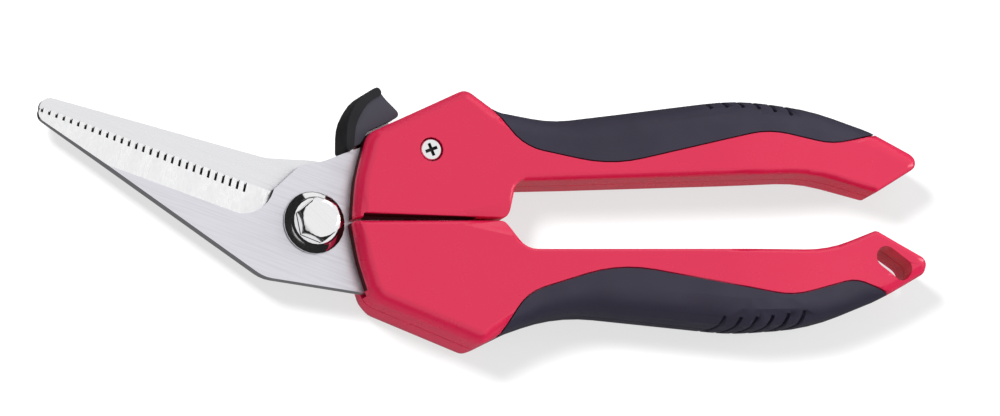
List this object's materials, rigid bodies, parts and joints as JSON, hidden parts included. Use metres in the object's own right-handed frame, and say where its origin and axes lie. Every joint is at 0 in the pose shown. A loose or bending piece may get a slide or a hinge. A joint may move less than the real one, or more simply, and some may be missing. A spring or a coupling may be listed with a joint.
{
  "type": "poultry shears",
  "caption": "Hand shears for poultry with a serrated front blade, moulded two-colour handles, a bolted pivot and a thumb lock.",
  "frame": {"origin": "centre of the bounding box in plan, on the plane that the handles' back faces rest on", "axes": "+X from the blade tips towards the handle ends, +Y towards the upper handle with the thumb lock, +Z out of the front, along the pivot"},
  "size_m": [0.2016, 0.0571, 0.0173],
  "materials": {
    "shell_red": "glossy red moulded handle shell",
    "grip_soft": "soft dark charcoal-blue grip",
    "pad_black": "black moulded thumb pad",
    "blade_steel": "brushed stainless blade",
    "chrome": "polished pivot hardware and screws",
    "spring_steel": "oiled spring wire"
  },
  "bodies": {
    "lower_side": {"plain_blade": "blade_steel", "lower_front_shell": "shell_red", "lower_back_shell": "shell_red", "lower_front_grip": "grip_soft", "lower_back_grip": "grip_soft", "lower_back_screw_1": "chrome", "lower_back_screw_2": "chrome", "lower_back_screw_3": "chrome", "pivot_bolt": "chrome", "pivot_nut": "chrome", "front_washer": "chrome", "back_washer": "chrome", "pivot_bush": "blade_steel", "return_spring": "spring_steel"},
    "upper_side": {"serrated_blade": "blade_steel", "upper_front_shell": "shell_red", "upper_back_shell": "shell_red", "upper_front_grip": "grip_soft", "upper_back_grip": "grip_soft", "upper_back_screw_1": "chrome", "upper_back_screw_2": "chrome", "lock_screw": "chrome", "lock_bush": "spring_steel", "lock_nut": "chrome"},
    "lock": {"lock_lever": "blade_steel", "thumb_pad": "pad_black"}
  },
  "joints": [
    {"name": "blade_pivot", "type": "hinge", "parent": "lower_side", "child": "upper_side", "pos_m": [-0.04, -0.00105, 0.0085], "axis": [0, 0, 1], "range_deg": [0, 28], "deforming": ["return_spring"]},
    {"name": "lock_pivot", "type": "hinge", "parent": "upper_side", "child": "lock", "pos_m": [-0.0138, 0.01415, 0.0085], "axis": [0, 0, 1], "range_deg": [-12, 0]}
  ]
}
